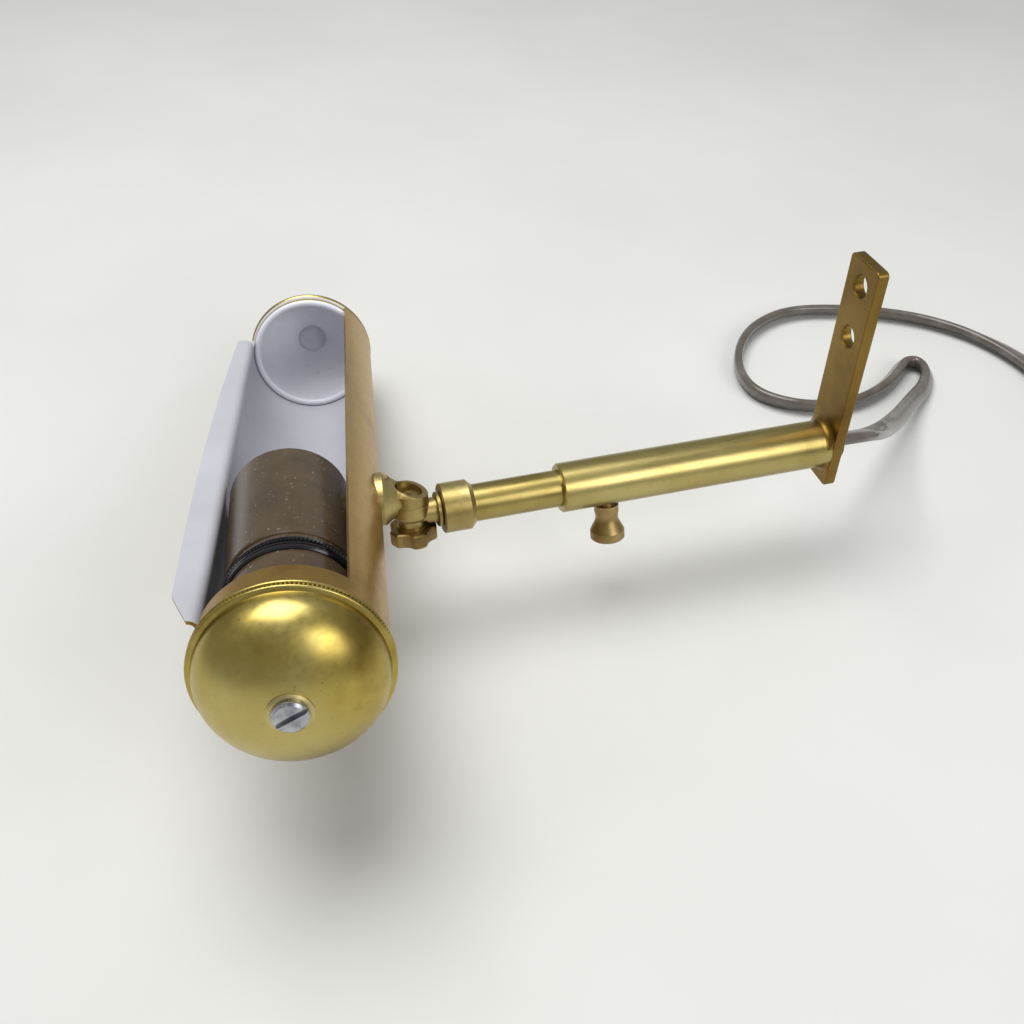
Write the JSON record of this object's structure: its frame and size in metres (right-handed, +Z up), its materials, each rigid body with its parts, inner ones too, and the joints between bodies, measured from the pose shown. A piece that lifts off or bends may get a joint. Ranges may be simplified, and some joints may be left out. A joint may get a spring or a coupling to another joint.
{
  "type": "piano lamp",
  "caption": "Brass piano lamp: an open trough shade with domed caps on a swivel and a telescopic arm, brazed to a flat drilled bracket bar, with flex and plug.",
  "frame": {"origin": "On the back face of the bracket bar, midway between its two screw holes.", "axes": "+Z up the bracket bar, +Y out of the back of the bar towards the surface it is screwed to, so the arm runs along -Y, +X towards the near end of the shade."},
  "size_m": [0.1939, 0.4018, 0.0903],
  "materials": {
    "aged_brass": "polished, with brown tarnish",
    "dark_brass": "darkened by handling",
    "pale_brass": "plain turned",
    "nickel": "worn nickel plate",
    "black_bakelite": "moulded, glossy",
    "glazed_ceramic": "glazed",
    "zinced_steel": "dull",
    "brown_pvc": "smooth, slightly glossy",
    "white_pvc": "smooth",
    "black_plastic": "smooth"
  },
  "bodies": {
    "bracket_arm": {"bracket_bar": "aged_brass", "outer_tube": "aged_brass", "braze_fillet": "aged_brass", "tube_bush": "black_plastic", "flex_in_tube": "brown_pvc", "flex_cord": "brown_pvc", "cord_coil": "brown_pvc", "coil_tie": "black_plastic", "cord_tail": "brown_pvc", "plug_body": "brown_pvc", "plug_pins": "nickel"},
    "pressure_pad": {"thumb_pad": "pale_brass"},
    "thumbscrew": {"thumb_screw": "dark_brass"},
    "sliding_tube": {"inner_tube": "aged_brass", "ferrule": "aged_brass"},
    "swivel_lower": {"swivel_arm_half": "aged_brass", "swivel_clip": "zinced_steel", "flex_in_swivel": "white_pvc"},
    "spring_washer": {"swivel_washer": "pale_brass"},
    "hand_nut": {"star_nut": "aged_brass"},
    "lamp_head": {"swivel_shade_half": "aged_brass", "pivot_screw": "pale_brass", "swivel_sleeve": "white_pvc", "hub_saddle": "pale_brass", "hub_nut": "zinced_steel", "shade_shell": "aged_brass", "near_cap": "aged_brass", "near_cup_washer": "pale_brass", "near_cap_screw": "nickel", "far_cap": "aged_brass", "far_cup_washer": "pale_brass", "far_cap_screw": "nickel", "far_cap_nut": "pale_brass", "holder_bracket": "zinced_steel", "holder_stud": "zinced_steel", "stud_nut": "zinced_steel", "lampholder_cap": "black_bakelite", "lampholder_ring": "black_bakelite", "lampholder_shell": "black_bakelite", "holder_insulator": "glazed_ceramic", "threaded_sleeve": "pale_brass", "centre_contact": "pale_brass", "terminal_screws": "pale_brass", "inner_wires": "white_pvc"}
  },
  "joints": [
    {"name": "arm_slide", "type": "slide", "parent": "bracket_arm", "child": "sliding_tube", "axis": [0, -1, 0], "range_m": [-0.021, 0.04]},
    {"name": "swivel_roll", "type": "hinge", "parent": "sliding_tube", "child": "swivel_lower", "pos_m": [0, -0.1154, -0.0403], "axis": [0, -1, 0], "range_deg": [-184, 160]},
    {"name": "shade_swing", "type": "hinge", "parent": "swivel_lower", "child": "lamp_head", "pos_m": [0, -0.1154, -0.0403], "axis": [0.2011, 0, -0.9796], "range_deg": [-78, 74]},
    {"name": "washer_travel", "type": "slide", "parent": "swivel_lower", "child": "spring_washer", "axis": [0.2011, 0, -0.9796], "range_m": [0, 0.00035]},
    {"name": "hand_nut_turn", "type": "hinge", "parent": "spring_washer", "child": "hand_nut", "pos_m": [0.00133, -0.1154, -0.04677], "axis": [0.2011, 0, -0.9796], "range_deg": [0, 184]},
    {"name": "pad_travel", "type": "slide", "parent": "bracket_arm", "child": "pressure_pad", "axis": [0.309, 0, -0.9511], "range_m": [0, 0.0014]},
    {"name": "thumbscrew_turn", "type": "hinge", "parent": "pressure_pad", "child": "thumbscrew", "pos_m": [0.00196, -0.0645, -0.04634], "axis": [0.309, 0, -0.9511], "range_deg": [0, 724]}
  ],
  "couplings": [
    {"joint": "hand_nut_turn", "follows": "washer_travel", "rad_per_m": 8976},
    {"joint": "thumbscrew_turn", "follows": "pad_travel", "rad_per_m": 8976}
  ]
}
